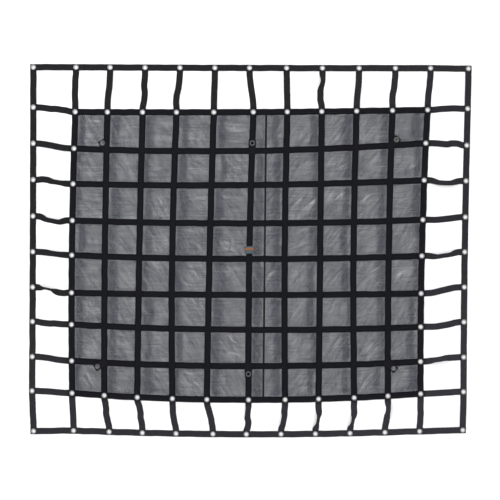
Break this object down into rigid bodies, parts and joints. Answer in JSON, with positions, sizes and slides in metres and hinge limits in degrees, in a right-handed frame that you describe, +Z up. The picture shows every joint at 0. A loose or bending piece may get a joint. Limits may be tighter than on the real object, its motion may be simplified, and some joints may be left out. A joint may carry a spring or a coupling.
{
  "type": "cargo net",
  "caption": "Rectangular webbing cargo net laid flat, with a mesh panel sewn under its inner cells, open edge cells, metal grommets and hinged anchor tabs.",
  "frame": {"origin": "on the surface that the net lies on, under the middle of the laid-out net", "axes": "+X along the net's longer side, +Y along its shorter side, +Z up out of the surface"},
  "size_m": [1.814, 1.53, 0.025],
  "materials": {
    "webbing": "ribbed woven polyester, matt black",
    "tab_webbing": "ribbed woven polyester, matt black",
    "mesh_fabric": "open coated mesh, dark yarn that shows the pale ground through it",
    "seam_tape": "narrow woven binding tape, black",
    "label_cloth": "woven label with an orange-brown band and a grey field, no text",
    "nickel_plate": "bright nickel-plated brass"
  },
  "bodies": {
    "root": {"border_strap_top": "webbing", "long_strap_1": "webbing", "long_strap_2": "webbing", "long_strap_3": "webbing", "long_strap_4": "webbing", "long_strap_5": "webbing", "long_strap_6": "webbing", "long_strap_7": "webbing", "long_strap_8": "webbing", "long_strap_9": "webbing", "border_strap_bottom": "webbing", "border_strap_left": "webbing", "cross_strap_1": "webbing", "cross_strap_2": "webbing", "cross_strap_3": "webbing", "cross_strap_4": "webbing", "cross_strap_5": "webbing", "cross_strap_6": "webbing", "cross_strap_7": "webbing", "cross_strap_8": "webbing", "cross_strap_9": "webbing", "cross_strap_10": "webbing", "cross_strap_11": "webbing", "border_strap_right": "webbing", "border_grommet_0_0": "nickel_plate", "border_grommet_2_0": "nickel_plate", "border_grommet_4_0": "nickel_plate", "border_grommet_6_0": "nickel_plate", "border_grommet_8_0": "nickel_plate", "border_grommet_10_0": "nickel_plate", "border_grommet_12_0": "nickel_plate", "border_grommet_0_2": "nickel_plate", "border_grommet_12_2": "nickel_plate", "border_grommet_0_5": "nickel_plate", "border_grommet_12_5": "nickel_plate", "border_grommet_0_8": "nickel_plate", "border_grommet_12_8": "nickel_plate", "border_grommet_0_10": "nickel_plate", "border_grommet_2_10": "nickel_plate", "border_grommet_4_10": "nickel_plate", "border_grommet_6_10": "nickel_plate", "border_grommet_8_10": "nickel_plate", "border_grommet_10_10": "nickel_plate", "border_grommet_12_10": "nickel_plate", "mesh_panel_left": "mesh_fabric", "mesh_panel_right": "mesh_fabric", "mesh_seam_tape": "seam_tape", "label_patch": "label_cloth"},
    "tab_upper_left": {"anchor_tab_upper_left": "tab_webbing", "tab_grommet_upper_left": "nickel_plate"},
    "tab_upper_middle": {"anchor_tab_upper_middle": "tab_webbing", "tab_grommet_upper_middle": "nickel_plate"},
    "tab_upper_right": {"anchor_tab_upper_right": "tab_webbing", "tab_grommet_upper_right": "nickel_plate"},
    "tab_lower_left": {"anchor_tab_lower_left": "tab_webbing", "tab_grommet_lower_left": "nickel_plate"},
    "tab_lower_middle": {"anchor_tab_lower_middle": "tab_webbing", "tab_grommet_lower_middle": "nickel_plate"},
    "tab_lower_right": {"anchor_tab_lower_right": "tab_webbing", "tab_grommet_lower_right": "nickel_plate"}
  },
  "joints": [
    {"name": "tab_lift_upper_left", "type": "hinge", "parent": "root", "child": "tab_upper_left", "pos_m": [-0.59866, 0.42975, 0.0064], "axis": [0.848, 0.5299, 0], "range_deg": [0, 120]},
    {"name": "tab_lift_upper_middle", "type": "hinge", "parent": "root", "child": "tab_upper_middle", "pos_m": [0.0081, 0.42799, 0.0064], "axis": [0.9994, -0.0349, 0], "range_deg": [0, 120]},
    {"name": "tab_lift_upper_right", "type": "hinge", "parent": "root", "child": "tab_upper_right", "pos_m": [0.59049, 0.44536, 0.0064], "axis": [0.7431, -0.6691, 0], "range_deg": [0, 120]},
    {"name": "tab_lift_lower_left", "type": "hinge", "parent": "root", "child": "tab_lower_left", "pos_m": [-0.6148, -0.46818, 0.0064], "axis": [-0.5, 0.866, 0], "range_deg": [0, 120]},
    {"name": "tab_lift_lower_middle", "type": "hinge", "parent": "root", "child": "tab_lower_middle", "pos_m": [-0.00756, -0.492, 0.0064], "axis": [-1, 0, 0], "range_deg": [0, 120]},
    {"name": "tab_lift_lower_right", "type": "hinge", "parent": "root", "child": "tab_lower_right", "pos_m": [0.57765, -0.47379, 0.0064], "axis": [-0.6691, -0.7431, 0], "range_deg": [0, 120]}
  ]
}
